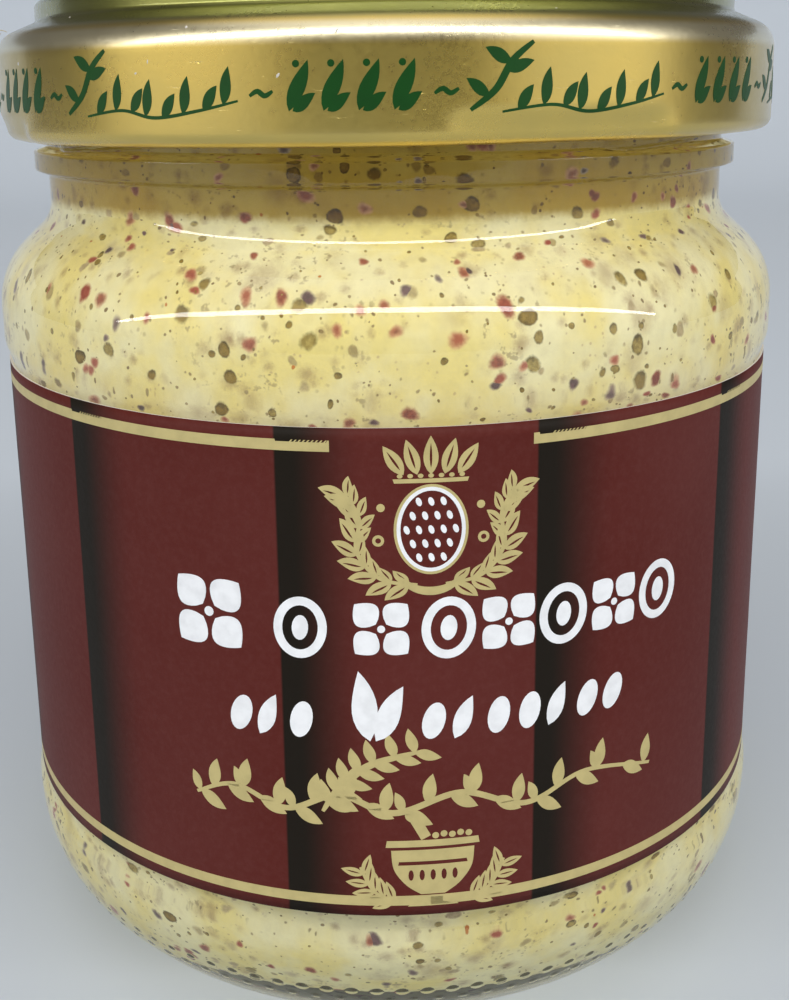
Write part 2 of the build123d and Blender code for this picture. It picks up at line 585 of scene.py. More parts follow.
def painted_lid_shadow(nodes, base, opts):
    """Painted shadow of the lid: deepen a colour in the neck, above the shoulder."""
    uneven = nodes.noise(900.0, 4.0, 0.7)
    height = nodes.calc("MULTIPLY_ADD", uneven, 0.0006, nodes.height())
    return nodes.blend(nodes.ramp(height, 65.3 * MM, 66.3 * MM), base, opts.lid_shadow_tone, "MULTIPLY")


def paste_group(opts):
    """The paste's colour at a place in the jar, with the hulls that lie just under its surface and the
    lid's shadow painted into the neck.
    """
    group = bpy.data.node_groups.new("paste_colour", "ShaderNodeTree")
    group.interface.new_socket("Color", in_out="OUTPUT", socket_type="NodeSocketColor")
    nodes = Nodes(group)
    base = nodes.blend(nodes.patches(0.35, 0.66, 170.0, 3.0, 0.55), opts.cream, opts.yellow)
    fine = nodes.patches(0.3, 0.75, 900.0, 4.0, 0.7)
    base = nodes.over(base, (0.60, 0.50, 0.25), fine, 0.22)
    for scale, strength in ((250.0, 0.4), (430.0, 0.5), (700.0, 0.5)):
        ragged = nodes.times(nodes.noise(scale * 4, 4.0, 0.75), 0.5)
        some = nodes.patches(0.47, 0.6, scale * 0.45, 1.0)
        amount = nodes.times(nodes.spots(scale, ragged, 0.25, 0.68), some, strength)
        base = nodes.blend(amount, base, opts.smudge)
    for scale, shade in ((1150.0, (0.34, 0.25, 0.10)), (1700.0, (0.40, 0.22, 0.14))):
        ragged = nodes.times(nodes.noise(scale * 2.2, 2.0, 0.6), 0.35)
        some = nodes.patches(0.52, 0.6, scale * 0.4, 1.0)
        base = nodes.over(base, shade, nodes.spots(scale, ragged, 0.22, 0.42), some, 0.42)
    grit = nodes.patches(0.6, 0.7, 1500.0, 2.0, 0.6)
    dirty = nodes.patches(0.48, 0.64, 190.0)
    base = nodes.over(base, (0.26, 0.17, 0.09), grit, dirty, 0.55)
    out = group.nodes.new("NodeGroupOutput")
    nodes.plug(out.inputs[0], painted_lid_shadow(nodes, base, opts))
    return group


def paste_colour(nodes, opts):
    """The shared colour of the paste, for the paste itself and for the rims of what lies in it."""
    group = bpy.data.node_groups.get("paste_colour") or paste_group(opts)
    return nodes.add("Group", {"node_tree": group}).outputs[0]


def paste_finish(opts):
    """Smooth, slightly oily mustard paste."""
    finish = Finish("mustard_paste", Roughness=0.62, Specular_IOR_Level=0.15)
    finish.set(Base_Color=paste_colour(finish, opts))
    finish.relief(finish.noise(900.0, 3.0, 0.6), 0.05)
    return finish


class Grains:
    """Lens-shaped grains that lie in a surface turned from a line, gathered into one mesh."""

    def __init__(self, line):
        self.line, self.normals = np.array(line), slopes(line)
        runs = np.linalg.norm(np.diff(self.line, axis=0), axis=1)
        self.along = np.concatenate([[0], np.cumsum(runs)])
        self.points, self.faces, self.values = [], [], []

    def run_at(self, height):
        """Distance along the line to where it first reaches a height."""
        return np.interp(height, self.line[:, 1], self.along)

    def area(self, low, high):
        """Area of the surface between two distances along its line, in square mm."""
        return (high - low) * 2 * math.pi * np.interp((low + high) / 2, self.along, self.line[:, 0])

    def add(self, run, turn, outline, lift, depth, value, softness, rings=3):
        """Add one grain: outline is (across, up) points in mm round its middle."""
        base, count = len(self.points), len(outline)
        radial = max(np.interp(run, self.along, self.line[:, 0]), 2.0)
        tall = max(1e-6, max(abs(up) for _, up in outline))
        for ring in range(rings + 1):
            part = 1 - ring / rings
            for across, up in outline if ring < rings else [(0.0, 0.0)]:
                self.put(run + up * part, turn + across * part / radial, lift * (1 - part**2))
                # Marks: place from rim to middle, shade by chance, height within the grain, which sets a
                # bubble's painted top shade, and softness
                self.values.append((part, value, 0.5 + up / tall * part / 2, softness))
        self.put(run, turn, -depth)
        self.values.append((0.0, value, 0.5, softness))
        last, tip = base + (rings - 1) * count, base + rings * count
        for step in range(count):
            after = (step + 1) % count
            for low in range(base, last, count):
                high = low + count
                self.faces.append((low + step, low + after, high + after, high + step))
            self.faces.append((last + step, last + after, tip))
            self.faces.append((base + after, base + step, tip + 1))

    def scatter(self, rng, spot, size, ratio, softness, corners, rings, rough, lift):
        """Add one uneven grain at a (run, turn) spot, lying at any slant."""
        outline = blob(rng, size, size * ratio, rng.uniform(0, math.pi), corners, rough)
        self.add(*spot, outline, lift, 0.05, rng.random(), rng.uniform(*softness), rings)

    def put(self, run, turn, out):
        """Add a point at a distance along the line, and out from it."""
        run = min(max(run, 0.0), self.along[-1])
        radial, height = (
            np.interp(run, self.along, self.line[:, axis])
            + out * np.interp(run, self.along, self.normals[:, axis])
            for axis in (0, 1)
        )
        self.points.append((radial * math.cos(turn), radial * math.sin(turn), height))

    def build(self, name):
        """One mesh of all the grains, with their marks for the finish."""
        piece = solid(name, np.array(self.points) * MM, self.faces)
        piece.data.set_sharp_from_angle(angle=CREASE)
        layer = piece.data.attributes.new("grain", "FLOAT_COLOR", "POINT")
        layer.data.foreach_set("color", np.array(self.values, np.float32).ravel())
        return piece


def blob(rng, width, length, lean, count=14, rough=0.12):
    """An uneven oval outline, leaning by an angle."""
    first, second = rng.uniform(0, 6.3), rng.uniform(0, 6.3)

    def wobble(angle):
        return 1 + rough * (math.sin(2 * angle + first) + 0.6 * math.sin(3 * angle + second))

    return oval(0.0, 0.0, width, length, lean, count, wobble)


def grain_finish(name, opts, shades, roughness=0.6, halo=None, shaded_rim=None):
    """A finish for grains: shades picked by chance, fading raggedly into the paste at the rim; for
    bubbles, a painted shaded rim and top.
    """
    finish = Finish(name, Roughness=roughness, Specular_IOR_Level=0.15)
    marks = finish.add("Attribute", {"attribute_name": "grain"}).outputs
    part, value, up = finish.add("SeparateColor", None, Color=marks["Color"]).outputs[:3]
    soft, inside = marks["Alpha"], finish.less(1.0, part)
    body = finish.blend(finish.ramp(value, 0.2, 0.8), shades[0], shades[1])
    mottle = finish.patches(0.4, 0.62, 2600.0, 3.0, 0.6)
    body = finish.over(body, shades[2], mottle, 0.6)
    ragged = finish.less(finish.noise(2100.0, 3.0, 0.6), 0.5)
    # Painted shade of a bubble's hollow: a dark ragged rim, and a darker top where light from above is cut
    # off
    if shaded_rim:
        ring = finish.ramp(finish.plus(part, finish.times(ragged, 0.9)), 0.5, 0.85)
        body = finish.over(body, shaded_rim, ring, 0.6)
        top = finish.ramp(finish.plus(up, finish.times(ragged, 0.8)), 0.5, 0.95)
        body = finish.over(body, shaded_rim, top, 0.8)
    around = paste_colour(finish, opts)
    if halo:
        around = finish.over(around, halo, finish.ramp(inside, 0.05, 0.6), 0.75)
    push = finish.times(ragged, finish.calc("MULTIPLY_ADD", soft, 0.7, 0.25))
    depth = finish.less(finish.plus(inside, push), 0.04)
    width = finish.calc("MULTIPLY_ADD", soft, 0.75, 0.14)
    keep = finish.times(
        finish.ramp(finish.calc("DIVIDE", depth, width), 0.0, 1.0),
        finish.ramp(inside, 0.0, 0.12),
        finish.calc("MULTIPLY_ADD", soft, -0.25, 1.0),
    )
    # The lid's painted shadow darkens the grains in the neck too
    finish.set(Base_Color=finish.blend(keep, around, painted_lid_shadow(finish, body, opts)))
    finish.relief(finish.noise(1900.0, 3.0), 0.02)
    return finish


def seen_places(rng, grains, density):
    """Where grains lie, as (run, turn): all of the mustard that the label leaves bare."""
    places = []
    label_low, label_high, top = (grains.run_at(height) for height in (14.0, 52.5, 74.0))
    for run in np.arange(0.0, top, 2.0):
        count = grains.area(run, run + 2.0) * density / 100
        for _ in range(int(count) + (rng.random() < count % 1)):
            spot = run + rng.random() * 2.0
            turn = rng.uniform(0, 2 * math.pi)
            in_gap = abs(math.degrees(turn) - 94.8) < 9.5
            if in_gap or not label_low + 1.5 < spot < label_high - 1.5:
                places.append((spot, turn))
    return places


RED = (0.30, 0.022, 0.02), (0.17, 0.012, 0.015), (0.42, 0.07, 0.04)
PLUM = (0.07, 0.03, 0.05), (0.13, 0.05, 0.07), (0.03, 0.015, 0.02)
BRAN = (0.30, 0.20, 0.08), (0.42, 0.31, 0.14), (0.18, 0.11, 0.045)
HULL = (0.50, 0.38, 0.16), (0.56, 0.42, 0.24), (0.34, 0.25, 0.12)
ORANGE = (0.62, 0.20, 0.03), (0.50, 0.13, 0.03), (0.7, 0.3, 0.06)
# Bubbles are painted shade: the olive-brown of air hollows in shadow, on flat marks
BUBBLE_SHADE = (0.30, 0.185, 0.03), (0.48, 0.35, 0.10), (0.20, 0.125, 0.02)


class MakeMustard(bpy.types.Operator):
    """Fill the jar with mustard paste, seeds, hulls and bubbles"""

    bl_idname = "mustard_jar.mustard"
    bl_label = "Mustard"

    def execute(self, context):
        opts = context.scene.jar_mustard
        rng = random.Random(opts.random_seed)
        line = paste_line()
        level = line[-1][1]
        surface = moved_out(line, opts.reach / MM)
        surface[-1] = (surface[-1][0], level)
        rows = [ring_row(*point, 240) for point in surface]
        for part in (0.8, 0.6, 0.4, 0.2):
            row = ring_row(surface[-1][0] * part, level, 240)
            row[:, 2] += uneven(row, 9.0, 0.25) * (1 - part)
            rows.append(row)
        rows.append(ring_row(0, level, 1))
        place(skin("mustard_fill", rows), "mustard_paste", paste_finish(opts), "mustard")

        seeds, bran = opts.seed_density, opts.bran_density
        kinds = (
            # name, per square cm, size low, high and usual in mm, softness, shades, halo
            ("brown_seeds", 0.8 * seeds, (0.28, 0.86, 0.46), (0.5, 1.0), RED, (0.80, 0.42, 0.24)),
            ("dark_seeds", 0.4 * seeds, (0.24, 0.72, 0.4), (0.5, 1.0), PLUM, (0.55, 0.42, 0.33)),
            ("bran_flecks", bran, (0.06, 0.24, 0.1), (0.2, 1.0), BRAN, None),
            ("yellow_hulls", 0.5 * seeds, (0.25, 0.7, 0.4), (0.2, 0.9), HULL, None),
            ("orange_flecks", 0.6, (0.12, 0.26, 0.16), (0.1, 0.5), ORANGE, None),
        )
        for name, density, sizes, softness, shades, halo in kinds:
            corners, rings = (8, 2) if "flecks" in name else (14, 4)
            grains = Grains(surface)
            for spot in seen_places(rng, grains, density):
                size, ratio = rng.triangular(*sizes), rng.uniform(1.0, 1.35)
                grains.scatter(rng, spot, size, ratio, softness, corners, rings, 0.13, 0.012)
            place(grains.build(name), "mustard_paste", grain_finish(name, opts, shades, halo=halo))

        # Air bubbles: flat marks with the shade of their hollows painted on
        grains = Grains(surface)
        for spot in seen_places(rng, grains, opts.bubble_density):
            size, ratio = 0.11 + 0.62 * rng.random() ** 2.8, rng.uniform(0.85, 1.2)
            grains.scatter(rng, spot, size, ratio, (0.05, 0.5), 12, 5, 0.09, 0.015)
        finish = grain_finish("air_bubbles", opts, BUBBLE_SHADE, 0.35, shaded_rim=(0.07, 0.045, 0.01))
        place(grains.build("air_bubbles"), "mustard_paste", finish)
        return {"FINISHED"}


# Lid

SHOULDER_BEND = 2.2  # rounding of the shoulder, mm
SHOULDER_START = 77.4  # height where it begins, mm


def off_lug(turn):
    """Degrees round to the middle of the nearest lug."""
    return np.abs((np.degrees(turn - FRONT) - 21.6 + 45) % 90 - 45)


def lug_push(turn, height):
    """How far the lid's skirt is pressed in, by its lugs and small dents, in mm."""
    press = 0.42 * (1 - ease(off_lug(turn), 11.0, 15.5)) * (1 - ease(height, 71.6, 73.3))
    heights = np.broadcast_to(height, turn.shape)
    return press + uneven(np.stack([33 * np.cos(turn), 33 * np.sin(turn), heights], 1), 7.0, 0.02)


def skirt_push(turn, height):
    """How far the printed skirt falls in from its widest, with the round of its shoulder."""
    over = np.clip(height - SHOULDER_START, 0, 2.0)
    return lug_push(turn, height) + SHOULDER_BEND - np.sqrt(SHOULDER_BEND**2 - over**2)


class MakeLid(bpy.types.Operator):
    """Press the twist-off lid, with its rolled edge and lugs, and print its skirt"""

    bl_idname = "mustard_jar.lid"
    bl_label = "Twist-Off Lid"

    def execute(self, context):
        opts = context.scene.jar_lid
        low, high = box_in_mm("lid")
        sheet, curl = opts.sheet / MM, opts.curl / MM
        top, radius = high.z, high.x
        step = radius - 3.35
        corners = [
            (0, top - 0.7),
            (24.6, top - 0.7, 0.5),
            (25.5, top, 0.5),
            (step, top, 0.6),
            (step, top - 1.7, 0.4),
            (radius, top - 3.15, SHOULDER_BEND),
            (radius, low.z + curl),
        ]
        line = rounded(corners, run=0.4, turn=9.0)
        for part in range(1, 36):
            out, up = turned(curl, 0.0, math.radians(-250 * part / 35))
            line.append((radius - curl + out, low.z + curl + up))
        rows = []
        for radial, height in line + moved_out(line, sheet)[::-1]:
            row = ring_row(radial, height, 360)
            if radial > 5:
                turn = bearing(row)
                push = lug_push(turn, height)
                if height < 73.2 and radial < radius - 0.4:
                    inward = ease(radius - 0.4 - radial, 0.0, 1.3)
                    push += 1.25 * inward * (1 - ease(off_lug(turn), 4.5, 8.0))
                swell(row, radial, -push)
            rows.append(row)
        art = Print(radius, 0.02, skirt_push)
        for repeat in range(7):
            lid_sprig(art, repeat * 2 * math.pi / 7 * radius)
        pieces = (
            (skin("twist_off_lid", rows), lid_finish(opts), "lid"),
            (dust(line), mottled("dust", 1500.0, (0.75, 0.72, 0.66), (0.5, 0.46, 0.4), 0.9)),
            (fluff(), mottled("fluff", 4000.0, (0.62, 0.58, 0.45), (0.45, 0.40, 0.28), 0.95)),
            (art.build("lid_sprigs"), ink_finish("green_ink", opts.green, 0.38)),
        )
        # Screwed down by hand, the lid sits a little off centre
        seat = Matrix.Translation((opts.shift, 0, 76 * MM)) @ Matrix.Rotation(-opts.lean, 4, "Y")
        seat = seat @ Matrix.Translation((0, 0, -76 * MM))
        for piece, finish, *nodes in pieces:
            piece.data.transform(seat)
            place(piece, "gold_tinplate", finish, *nodes)
        return {"FINISHED"}


def lid_finish(opts):
    """Satin gold lacquer on tinplate, faintly brushed, with small scuffs, a painted highlight along the
    shoulder and a painted dark reflection on the sloping ring above it.
    """
    finish = Finish("gold_lacquer", Metallic=1.0, Coat_Weight=0.8, Coat_Roughness=0.16)
    cloud = finish.patches(0.3, 0.7, 120.0, 3.0)
    gold = finish.blend(finish.times(cloud, 0.35), opts.gold, (0.42, 0.36, 0.12))
    # Painted highlight: a pale band along the shoulder's rounding
    height = finish.height()
    shoulder_highlight = finish.less(
        finish.ramp(height, 77.3 * MM, 78.0 * MM), finish.ramp(height, 78.6 * MM, 79.1 * MM)
    )
    gold = finish.over(gold, (0.95, 0.89, 0.66), shoulder_highlight, 0.75)
    # Painted reflection: the sloping ring above the shoulder is darkened to olive, where it mirrors the
    # dim room above and behind
    flat = finish.add("VectorMath", {"operation": "MULTIPLY"}, i0=finish.where(), i1=(1.0, 1.0, 0.0))
    out = finish.add("VectorMath", {"operation": "LENGTH"}, i0=flat.outputs[0]).outputs["Value"]
    flange_dark_reflection = finish.times(
        finish.ramp(height, 78.9 * MM, 79.5 * MM), finish.ramp(out, 29.4 * MM, 30.1 * MM), 0.9
    )
    gold = finish.blend(flange_dark_reflection, gold, (0.24, 0.26, 0.06))
    scuff = finish.patches(0.66, 0.74, 1300.0, 4.0, 0.65, (0.35, 0.35, 3.0))
    gold = finish.over(gold, (0.75, 0.68, 0.45), scuff, 0.2)
    fine = finish.noise(2300.0, 3.0, 0.6)
    rough = finish.calc("MULTIPLY_ADD", fine, 0.14, 0.2)
    finish.set(Base_Color=gold, Roughness=finish.calc("MULTIPLY_ADD", cloud, 0.06, rough))
    around = finish.add("Tangent", {"direction_type": "RADIAL", "axis": "Z"}).outputs[0]
    finish.set(Tangent=around, Anisotropic=0.4, Anisotropic_Rotation=0.25)
    finish.relief(finish.calc("MULTIPLY_ADD", scuff, -0.8, fine), 0.01)
    return finish


def dust(line):
    """Specks of dust on the lid."""
    rng = random.Random(11)
    grains = Grains(line[::-1])
    for _ in range(130):
        run = rng.uniform(8.0, grains.along[-1] - 4.0)
        size = rng.triangular(0.04, 0.14, 0.06)
        outline = blob(rng, size, size * rng.uniform(1.0, 2.4), rng.uniform(0, math.pi), 7)
        grains.add(run, rng.uniform(0, 2 * math.pi), outline, 0.03, 0.02, rng.random(), 0.0, 2)
    return grains.build("lid_dust")


def fluff():
    """A curl of fluff that clings to the lid's left shoulder: a fine bent thread."""
    path = []
    for step in range(33):
        part = step / 32
        across, up = turned(0.62 * (1 - 0.45 * part), 0.0, 0.6 + 4.4 * part)
        path.append(Vector((-31.2 + across, -11.6 - 0.25 * part, 79.3 + 0.5 * up + 0.2 * part)))
    points, faces = [], []
    for before, spot, after in zip(path[:1] + path, path, path[1:] + path[-1:]):
        ahead = (after - before).normalized()
        side = ahead.cross(Vector((0, 1, 0.2))).normalized()
        for turn in range(6):
            out = Matrix.Rotation(turn * math.pi / 3, 3, ahead) @ side
            points.append(spot + 0.035 * out)
    last = len(points) - 6
    for k in range(6):
        after = (k + 1) % 6
        for row in range(0, last, 6):
            faces.append((row + k, row + after, row + 6 + after, row + 6 + k))
        faces += [(after, k, last + 6), (last + k, last + after, last + 7)]
    points += [path[0], path[-1]]
    return solid("lid_fluff", np.array(points) * MM, faces)


# Print: flat shapes wrapped round the jar


class Print:
    """Shapes of ink on a round surface, gathered into one thin mesh.

    Across is the distance round from the front, and up the height, both in mm.
    """

    def __init__(self, radius, proud, push=None):
        self.radius, self.proud, self.push = radius, proud, push
        self.shape = bmesh.new()

    def add(self, outline, *holes):
        """Add a filled outline, less any holes."""
        loops = [[Vector((x, z, 0.0)) for x, z in loop] for loop in (outline, *holes)]
        made = [self.shape.verts.new(point) for loop in loops for point in loop]
        for face in tessellate_polygon(loops):
            if len(set(face)) == 3:
                self.shape.faces.new([made[index] for index in face])

    def build(self, name, step=0.9):
        """Cut the shapes into narrow strips and wrap them, as one thin piece."""
        shape = self.shape
        across = [corner.co.x for corner in shape.verts]
        for mark in np.arange(math.ceil(min(across) / step) * step, max(across), step):
            parts = shape.verts[:] + shape.edges[:] + shape.faces[:]
            cut = {"plane_co": (mark, 0, 0), "plane_no": (1, 0, 0), "dist": 1e-4}
            bmesh.ops.bisect_plane(shape, geom=parts, **cut)
        shape.verts.index_update()
        flat = np.array([corner.co[:2] for corner in shape.verts])
        count = len(flat)
        faces = [[corner.index for corner in face.verts] for face in shape.faces]
        faces += [[index + count for index in reversed(face)] for face in faces]
        for edge in shape.edges:
            if len(edge.link_faces) == 1:
                loop = edge.link_loops[0]
                a, b = loop.vert.index, loop.link_loop_next.vert.index
                faces.append([b, a, a + count, b + count])
        shape.free()
        turn, height = flat[:, 0] / self.radius, flat[:, 1]
        push = self.push(turn + FRONT, height) if self.push else 0.0
        layers = []
        for out in (self.proud, -0.03):
            radial = self.radius + out - push
            layers.append(np.stack([radial * np.sin(turn), -radial * np.cos(turn), height], 1))
        piece = solid(name, np.concatenate(layers) * MM, faces)
        piece.data.set_sharp_from_angle(angle=CREASE)
        return piece


def leaf(x, z, length, width, lean, bend=0.0, count=9):
    """Outline of a pointed leaf from its foot, leaning from level, bent sideways."""
    sides = ([], [])
    for step in range(count + 1):
        part = step / count
        half = width / 2 * math.sin(math.pi * part**0.85) ** 0.9 if 0 < part < 1 else 0.0
        middle = bend * length * math.sin(math.pi * part / 2) ** 2
        for side, sign in zip(sides, (1, -1)):
            a, b = turned(length * part, middle + sign * half, lean)
            side.append((x + a, z + b))
    return sides[0] + sides[1][-2:0:-1]


def veined(art, x, z, length, width, lean, bend=0.0):
    """A leaf with a bare line down its middle."""
    a, b = turned(0.16 * length, 0.0, lean)
    slit = leaf(x + a, z + b, length * 0.66, width * 0.17, lean, bend * 0.8, 6)
    art.add(leaf(x, z, length, width, lean, bend), slit[::-1])


def stroke(marks, width, taper=0.0):
    """Outline of a line of a given width through points, thinned towards its ends."""
    marks = np.array(marks, float)
    half = width / 2 * (1 - taper * np.linspace(-1, 1, len(marks)) ** 2)
    side = slopes(marks) * half[:, None]
    return [*map(tuple, marks - side), *map(tuple, (marks + side)[::-1])]


def curve(points, count=24):
    """A smooth line through a few points."""
    points = [points[0]] + list(points) + [points[-1]]
    spans = len(points) - 3
    marks = []
    for step in range(count + 1):
        along = min(step / count * spans, spans - 1e-9)
        span = int(along)
        part = along - span
        a, b, c, d = (np.array(point, float) for point in points[span : span + 4])
        bends = (2 * a - 5 * b + 4 * c - d) * part**2 + (3 * b - a - 3 * c + d) * part**3
        marks.append(tuple(0.5 * (2 * b + (c - a) * part + bends)))
    return marks


def ink_finish(name, shade, roughness, metal=0.0):
    """Printing ink with a little unevenness."""
    finish = Finish(name, Metallic=metal, Roughness=roughness, Specular_IOR_Level=0.3)
    patch = finish.patches(0.3, 0.75, 900.0, 3.0)
    deep = [part * 0.8 for part in shade]
    finish.set(Base_Color=finish.over(shade, deep, patch, 0.6))
    finish.relief(finish.noise(2600.0), 0.01)
    return finish


def lid_sprig(art, x):
    """One repeat of the lid's print: two leaning sprigs, with a short wave after each."""

    def at(across, up):
        return x + across + 0.3 * (up - 74.0), up

    def bent(*marks, count):
        return curve([at(*mark) for mark in marks], count)

    tall = bent((-24.6, 73.1), (-23.3, 74.4), (-22.7, 76.2), (-21.6, 77.4), count=20)
    art.add(stroke(tall, 0.5, 0.5))
    art.add(leaf(*tall[13], 2.0, 0.85, math.radians(158), -0.1))
    art.add(leaf(*tall[11], 2.0, 0.8, math.radians(12), 0.1))
    art.add(leaf(*tall[5], 1.9, 0.8, math.radians(150), -0.1))
    vine = bent((-22.4, 72.95), (-19, 73.35), (-16, 72.85), (-12.6, 73.3), (-9.9, 73.9), count=44)
    art.add(stroke(vine, 0.24, 0.4))
    for step, mark in enumerate(vine[4:-3:5]):
        long, lean = (2.5, 72) if step % 2 else (1.9, 48)
        art.add(leaf(*mark, long, 0.82, math.radians(lean), 0.12))
    for across in (-8.4, 3.75):
        wave = [(across + off, up) for off, up in ((-0.75, 74.2), (-0.3, 74.5), (0.3, 74.2), (0.75, 74.5))]
        art.add(stroke(bent(*wave, count=14), 0.36, 0.5))
    for across in (-6.2, -3.9, -1.6, 0.7):
        art.add(leaf(*at(across, 73.2), 3.5, 1.05, math.radians(72), -0.08))
        art.add(leaf(*at(across + 0.25, 73.2), 1.9, 0.8, math.radians(28), 0.15))
        art.add(oval(*at(across - 0.35, 76.2), 0.24, 0.24, 0, 12))


# Label

LABEL_GAP = 9.0  # between the label's ends, at the back, mm
FIRST_STRIPE = math.radians(-44.0)  # round from the front to the sharp edge of a stripe
GOLD_LINE = 51.2  # top of the upper gold line, mm


def gold_lines(gold, opts, radius, middle):
    """The gold lines along the label's edges."""
    half = math.pi * radius - LABEL_GAP * radius / (radius - opts.thickness / MM) / 2 - 0.25
    left, right = middle - half, middle + half
    first, pitch = FIRST_STRIPE * radius, opts.stripe_pitch / MM
    stripes = [first + step * pitch for step in range(-6, 12)]
    for start, end in ((left, -4.08), (10.22, right)):
        # A step down at each stripe, and a hatched run back up
        marks = [(start, GOLD_LINE)]
        for edge in (edge for edge in stripes if start < edge < end):
            low = GOLD_LINE - 0.15
            marks += [(edge - 0.02, GOLD_LINE), (edge + 0.02, low), (min(edge + 3.6, end), low)]
            if edge + 3.7 < end:
                marks.append((edge + 3.7, GOLD_LINE))
        gold.add(marks + [(end, GOLD_LINE), (end, 50.4), (start, 50.4)])
        for x in (edge + 1.0 + tick * 0.3 for edge in stripes for tick in range(9)):
            if start < x < end - 0.4:
                gold.add([(x, 51.04), (x + 0.12, 51.04), (x + 0.27, 51.2), (x + 0.15, 51.2)])
    gold.add([(left, 15.2), (right, 15.2), (right, 16.0), (left, 16.0)])


def medallion(gold, white, x):
    """Oval of seeds between two leafy branches, under a fan of leaves."""
    for side in (-1, 1):
        branch = curve([(1.0, 40.7), (3.6, 41.2), (5.2, 43.2), (5.0, 45.6), (5.9, 47.3)], 40)
        gold.add(stroke([(x + side * a, b) for a, b in branch], 0.3, 0.3))
        for step in range(3, 40, 4):
            a, b = branch[step]
            ahead = np.subtract(branch[step + 1], branch[step - 1])
            way = math.atan2(ahead[1], ahead[0])
            for turn, long, wide, bend in ((-48, 2.05, 0.95, 0.14), (46, 1.5, 0.72, -0.14)):
                lean = way + math.radians(turn)
                lean = lean if side > 0 else math.pi - lean
                veined(gold, x + side * a, b, long, wide, lean, bend * side)
        fruit = x + side * 3.7
        gold.add(oval(fruit, 44.0, 0.42, 0.42, 0, 16), oval(fruit, 44.0, 0.2, 0.2, 0, 10)[::-1])
        gold.add(oval(x + side * 3.5, 46.4, 0.3, 0.3, 0, 12))
    for off in (-2, -1, 0, 1, 2):
        long, lean = 2.75 - 0.12 * abs(off), math.radians(90 - off * 17)
        veined(gold, x + off * 0.95, 48.75, long, 1.05, lean)
    gold.add([(x - 2.55, 48.15), (x + 2.55, 48.15), (x + 2.65, 48.45), (x - 2.65, 48.45)])
    for step in range(7):
        gold.add(oval(x + (step - 3) * 0.72, 48.66, 0.2, 0.16, 0, 10))
    sag = ((-2.4, 41.3), (-1.2, 40.45), (0, 40.2), (1.2, 40.45), (2.4, 41.3))
    gold.add(stroke(curve([(x + a, b) for a, b in sag]), 0.62, 0.6))
    panel = oval(x, 44.75, 2.42, 3.1, count=48)
    gold.add(oval(x, 44.75, 2.62, 3.3, count=48), panel[::-1])
    white.add(panel, oval(x, 44.75, 2.15, 2.83, count=48)[::-1])
    for row in range(5):
        for column in range(5):
            a = (column - 2) * 0.86 + (0.43 if row % 2 else 0)
            b = (row - 2) * 1.02
            if (a / 1.95) ** 2 + (b / 2.6) ** 2 < 0.9:
                white.add(oval(x + a, 44.75 + b, 0.2, 0.33, 0.35, 12))


def flower(art, x, z, size):
    """Four-petalled mustard flower with a bare middle."""
    for turn in (45, 135, 225, 315):
        a, b = turned(0.2 * size, 0.0, math.radians(turn))
        art.add(leaf(x + a, z + b, size * 0.82, size * 0.8, math.radians(turn), 0.0, 12))
    art.add(oval(x, z, 0.11 * size, 0.11 * size, 0, 12))


def flower_row(art):
    """Large white row: flowers and ringed seeds by turns."""
    flower(art, -13.5, 37.8, 3.45)
    for x in (-6.5, 4.1, 12.8, 21.6):
        art.add(oval(x, 37.35, 1.95, 2.35, -0.1, 40), oval(x, 37.35, 1.3, 1.7, -0.1, 30)[::-1])
        art.add(oval(x, 37.35, 0.6, 0.95, -0.1, 20))
    for x in (-0.7, 8.5, 17.2):
        flower(art, x, 37.4, 2.6)


def seed_row(art):
    """Small white row: seeds and short leaves, with a larger pair of leaves between."""
    rng = random.Random(3)
    art.add(leaf(-1.6, 28.7, 5.5, 1.9, math.radians(104), -0.1))
    art.add(leaf(-1.2, 28.7, 4.7, 1.7, math.radians(58), 0.12))
    for step, x in enumerate((-11.2, -8.9, -6.6, 3.0, 5.4, 7.8, 10.2, 12.6, 15.0, 17.3)):
        if step % 3 == 1:
            art.add(leaf(x - 0.9, 28.7, 3.5, 1.35, math.radians(62), 0.1))
        else:
            art.add(oval(x, 30.2, 0.82, 1.45, rng.uniform(-0.35, -0.1), 24))


def vine_row(art):
    """Gold row: a leafy vine, with a taller sprig near its middle."""
    bends = [(-15.3, 22.9), (-12, 24.2), (-8, 22.9), (-4, 24.3), (0, 22.9), (5, 24.3)]
    stem = curve(bends + [(10, 22.7), (15, 24.2), (21.4, 22.9)], 96)
    art.add(stroke(stem, 0.5, 0.5))
    for step, (x, z) in enumerate(stem[2:-2:4]):
        side = 1 if step % 2 else -1
        art.add(leaf(x, z, 2.4, 1.05, math.radians(25 + side * 48), 0.1 * side))
        if step % 3 == 0:
            art.add(leaf(x, z, 1.7, 0.8, math.radians(118), -0.1))
    sprig = curve([(-5.2, 22.9), (-3.9, 24.9), (-1.6, 26.8), (1.9, 27.8)], 22)
    art.add(stroke(sprig, 0.6, 0.6))
    for x, z in sprig[3:-1:3]:
        art.add(leaf(x, z, 2.0, 0.85, math.radians(98), 0.1))
        art.add(leaf(x, z, 2.0, 0.85, math.radians(-8), -0.1))


